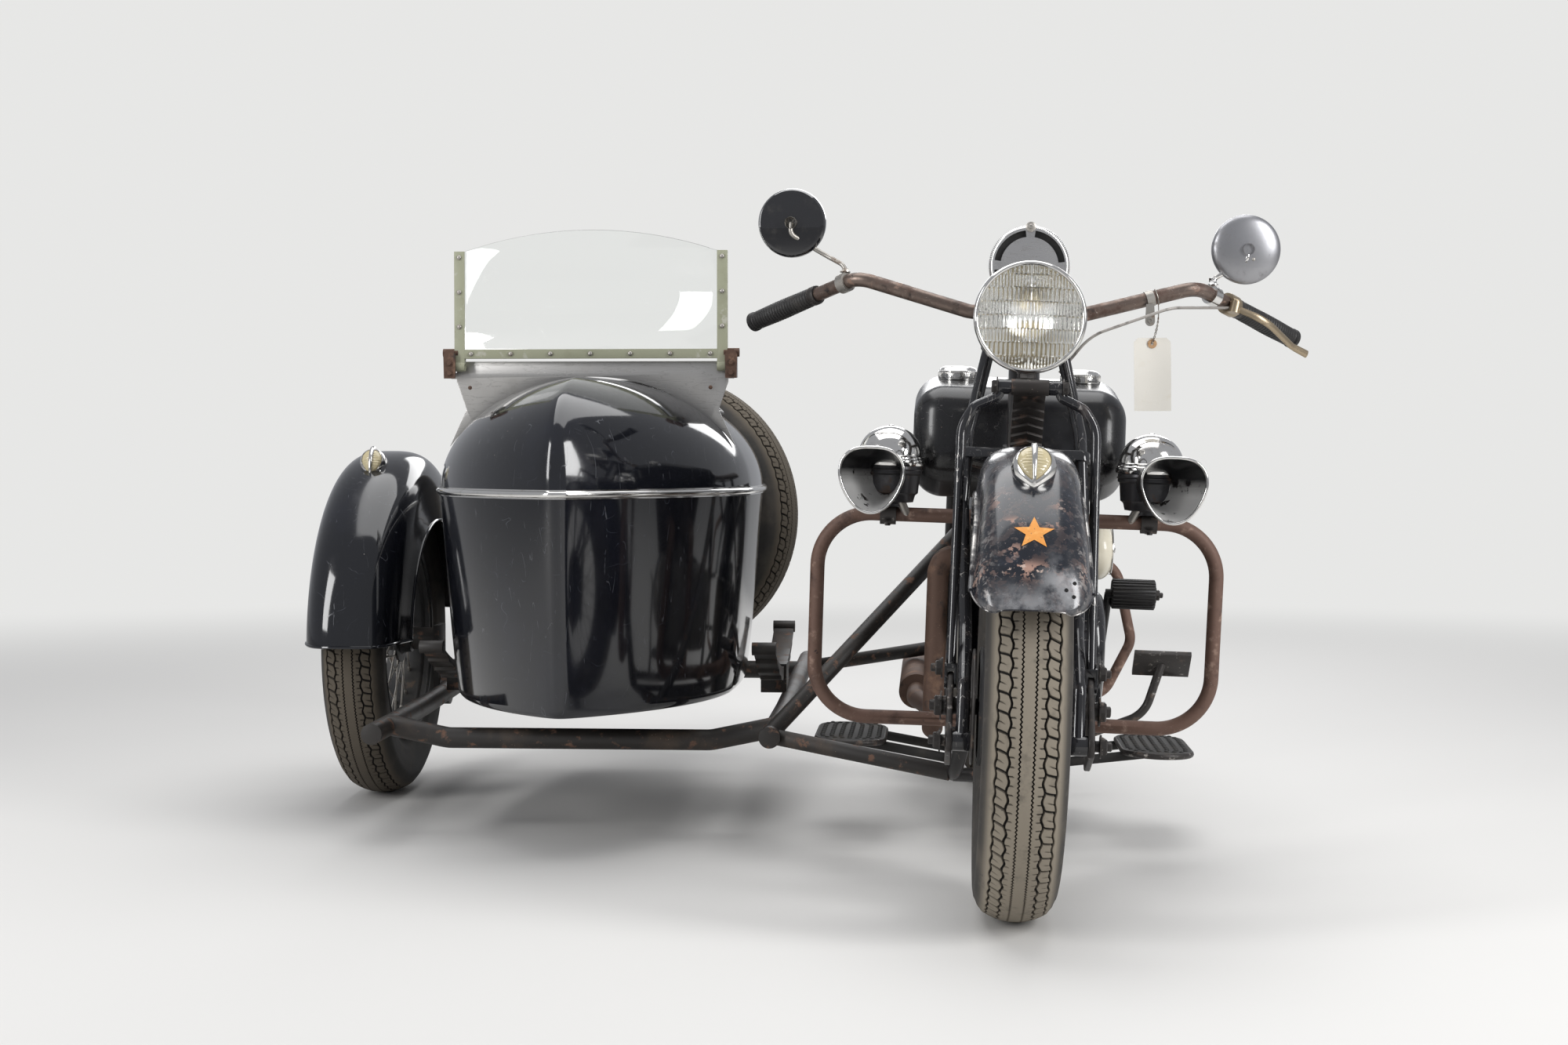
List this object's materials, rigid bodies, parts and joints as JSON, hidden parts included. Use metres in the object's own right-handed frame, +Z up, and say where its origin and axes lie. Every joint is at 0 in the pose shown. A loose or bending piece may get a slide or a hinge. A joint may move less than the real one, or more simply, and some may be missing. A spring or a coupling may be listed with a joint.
{
  "type": "sidecar motorcycle",
  "caption": "Vintage V-twin motorcycle with leaf-spring fork, twin sirens and crash bars, coupled to a boat-nosed single-seat sidecar with its own windscreen.",
  "frame": {"origin": "on the ground, at the middle of the outline seen from above", "axes": "+Z up, -Y to the front of the vehicle, +X to the rider's left; the sidecar is on the rider's right, at -X"},
  "size_m": [1.957, 2.4008, 1.2126],
  "materials": {
    "black_paint": "gloss black paint, worn",
    "frame_paint": "black enamel, dulled",
    "sidecar_paint": "gloss blue-black paint",
    "rusted_tube": "bare rusted steel tube",
    "chrome": "aged chrome plate",
    "steel": "dull bare steel",
    "cast_metal": "cast aluminium, oily",
    "cast_iron": "black stove-enamelled iron",
    "sheet_aluminium": "bare brushed sheet",
    "olive_paint": "pale olive paint, worn",
    "tyre": "dusty rubber",
    "rubber": "black rubber",
    "leather": "dark brown leather",
    "cream_paint": "cream enamel",
    "clear_glass": "clear ribbed glass"
  },
  "bodies": {
    "chassis": {"bike_frame": "frame_paint", "crankcase": "cast_metal", "cylinder_front": "cast_iron", "cylinder_rear": "cast_iron", "gearbox": "cast_metal", "primary_cover": "black_paint", "exhaust": "steel", "carburettor": "cast_metal", "air_cleaner": "cream_paint", "tank_right": "black_paint", "tank_left": "black_paint", "filler_caps": "chrome", "saddle": "leather", "saddle_springs": "frame_paint", "rear_fender": "black_paint", "tail_lamp": "black_paint", "number_plate": "black_paint", "chain": "steel", "front_crash_bar": "rusted_tube", "rear_crash_bar": "rusted_tube", "sirens": "chrome", "footboards": "rubber", "foot_controls": "steel", "kick_starter": "rubber", "sidecar_hull": "sidecar_paint", "sidecar_deck": "sidecar_paint", "belt_moulding": "chrome", "sidecar_cushion": "leather", "sidecar_backrest": "leather", "windscreen_apron": "sheet_aluminium", "sidecar_chassis": "frame_paint", "sidecar_springs": "frame_paint", "sidecar_struts": "frame_paint", "sidecar_fender": "sidecar_paint", "sidecar_fender_lamp": "chrome", "spare_tyre": "tyre", "spare_wheel": "frame_paint", "spare_carrier": "frame_paint"},
    "steering": {"fork": "black_paint", "rockers": "steel", "leaf_spring": "black_paint", "spring_rods": "chrome", "front_fender": "black_paint", "front_fender_lamp": "chrome", "headlamp_shell": "chrome", "headlamp_lens": "clear_glass", "horn": "chrome", "handlebar": "rusted_tube", "grips": "rubber", "hand_lever": "steel", "mirrors": "chrome"},
    "front_wheel_set": {"front_tyre": "tyre", "front_wheel": "frame_paint"},
    "rear_wheel_set": {"rear_tyre": "tyre", "rear_wheel": "frame_paint"},
    "sidecar_wheel_set": {"sidecar_tyre": "tyre", "sidecar_wheel": "frame_paint"},
    "windscreen": {"windscreen_frame": "olive_paint", "windscreen_glass": "clear_glass"}
  },
  "joints": [
    {"name": "steering_turn", "type": "hinge", "parent": "chassis", "child": "steering", "pos_m": [0.45588, -0.52456, 0.81187], "axis": [0.0308, 0.4695, 0.8824], "range_deg": [-28, 28]},
    {"name": "front_wheel_spin", "type": "hinge", "parent": "steering", "child": "front_wheel_set", "pos_m": [0.43918, -0.85647, 0.33385], "axis": [0.9994, 0, -0.0349], "continuous": true},
    {"name": "rear_wheel_spin", "type": "hinge", "parent": "chassis", "child": "rear_wheel_set", "pos_m": [0.43918, 0.71553, 0.33385], "axis": [0.9994, 0, -0.0349], "continuous": true},
    {"name": "sidecar_wheel_spin", "type": "hinge", "parent": "chassis", "child": "sidecar_wheel_set", "pos_m": [-0.89247, 0.39853, 0.33406], "axis": [1, 0, 0], "continuous": true},
    {"name": "windscreen_tilt", "type": "hinge", "parent": "chassis", "child": "windscreen", "pos_m": [-0.36747, -0.07447, 0.90806], "axis": [1, 0, 0], "range_deg": [-25, 25]}
  ]
}
